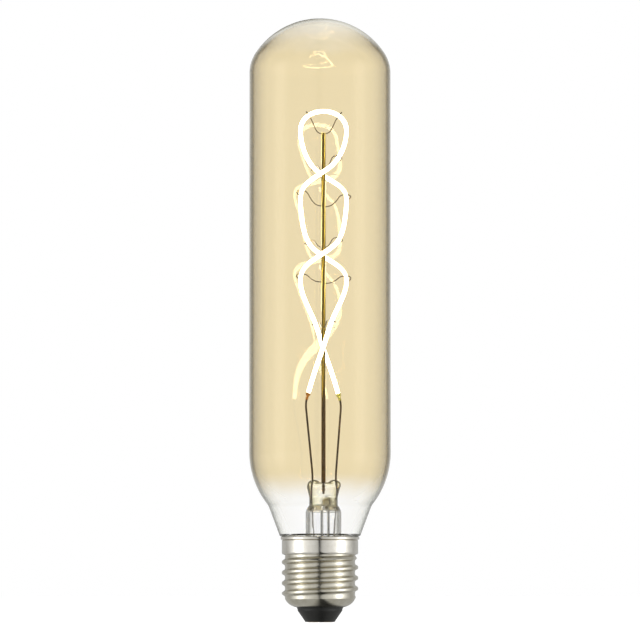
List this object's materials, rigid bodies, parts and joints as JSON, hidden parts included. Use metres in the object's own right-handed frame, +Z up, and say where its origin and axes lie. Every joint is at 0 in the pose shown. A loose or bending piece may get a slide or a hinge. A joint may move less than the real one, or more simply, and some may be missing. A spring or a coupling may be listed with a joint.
{
  "type": "light bulb",
  "caption": "Tubular filament lamp: tall tinted glass, a twisted glowing strip hooked to a rod on a glass stem, and a screw cap with a black insulator.",
  "frame": {"origin": "centre of the lower face of the centre contact, on the lamp's axis", "axes": "+Z up the axis from the cap to the crown of the glass; -Y is the side of the picture, +X to its right"},
  "size_m": [0.049, 0.049, 0.2095],
  "materials": {
    "tinted_glass": "clear, pale amber coat, polished",
    "clear_glass": "clear, fire polished",
    "rod_steel": "drawn rod",
    "light_strip": "yellow phosphor coat, shown lit",
    "clip_steel": "plated, dull",
    "nickel_wire": "drawn wire",
    "seal_copper": "copper clad wire",
    "copper_wire": "drawn wire",
    "support_steel": "thin drawn wire",
    "cap_nickel": "bright nickel plate",
    "insulator_black": "black, smooth",
    "contact_brass": "stamped",
    "solder_tin": "dull solder",
    "cement": "matt",
    "board_laminate": "solder mask",
    "moulded_black": "moulded",
    "capacitor_sleeve": "sleeved can",
    "resistor_ceramic": "matt coat",
    "hookup_wire": "tinned copper wire"
  },
  "bodies": {
    "root": {"glass_envelope": "tinted_glass", "stem_glass": "clear_glass", "exhaust_tube": "clear_glass", "support_rod": "rod_steel", "led_filament": "light_strip", "filament_clip_left": "clip_steel", "filament_clip_right": "clip_steel", "inner_lead_left": "nickel_wire", "inner_lead_right": "nickel_wire", "seal_wire_left": "seal_copper", "seal_wire_right": "seal_copper", "outer_lead_left": "copper_wire", "outer_lead_right": "copper_wire", "support_wire_crown_left": "support_steel", "support_wire_crown_right": "support_steel", "support_wire_upper_left": "support_steel", "support_wire_upper_right": "support_steel", "support_wire_second_left": "support_steel", "support_wire_second_right": "support_steel", "support_wire_middle_left": "support_steel", "support_wire_middle_right": "support_steel", "support_wire_fourth_left": "support_steel", "support_wire_fourth_right": "support_steel", "support_wire_lower_left": "support_steel", "support_wire_lower_right": "support_steel", "cap_shell": "cap_nickel", "cap_insulator": "insulator_black", "centre_contact": "contact_brass", "contact_solder": "solder_tin", "cap_cement": "cement", "driver_board": "board_laminate", "bridge_rectifier": "moulded_black", "current_regulator": "moulded_black", "smoothing_capacitor": "capacitor_sleeve", "fuse_resistor": "resistor_ceramic", "contact_wire": "hookup_wire", "shell_wire": "hookup_wire"}
  },
  "joints": []
}
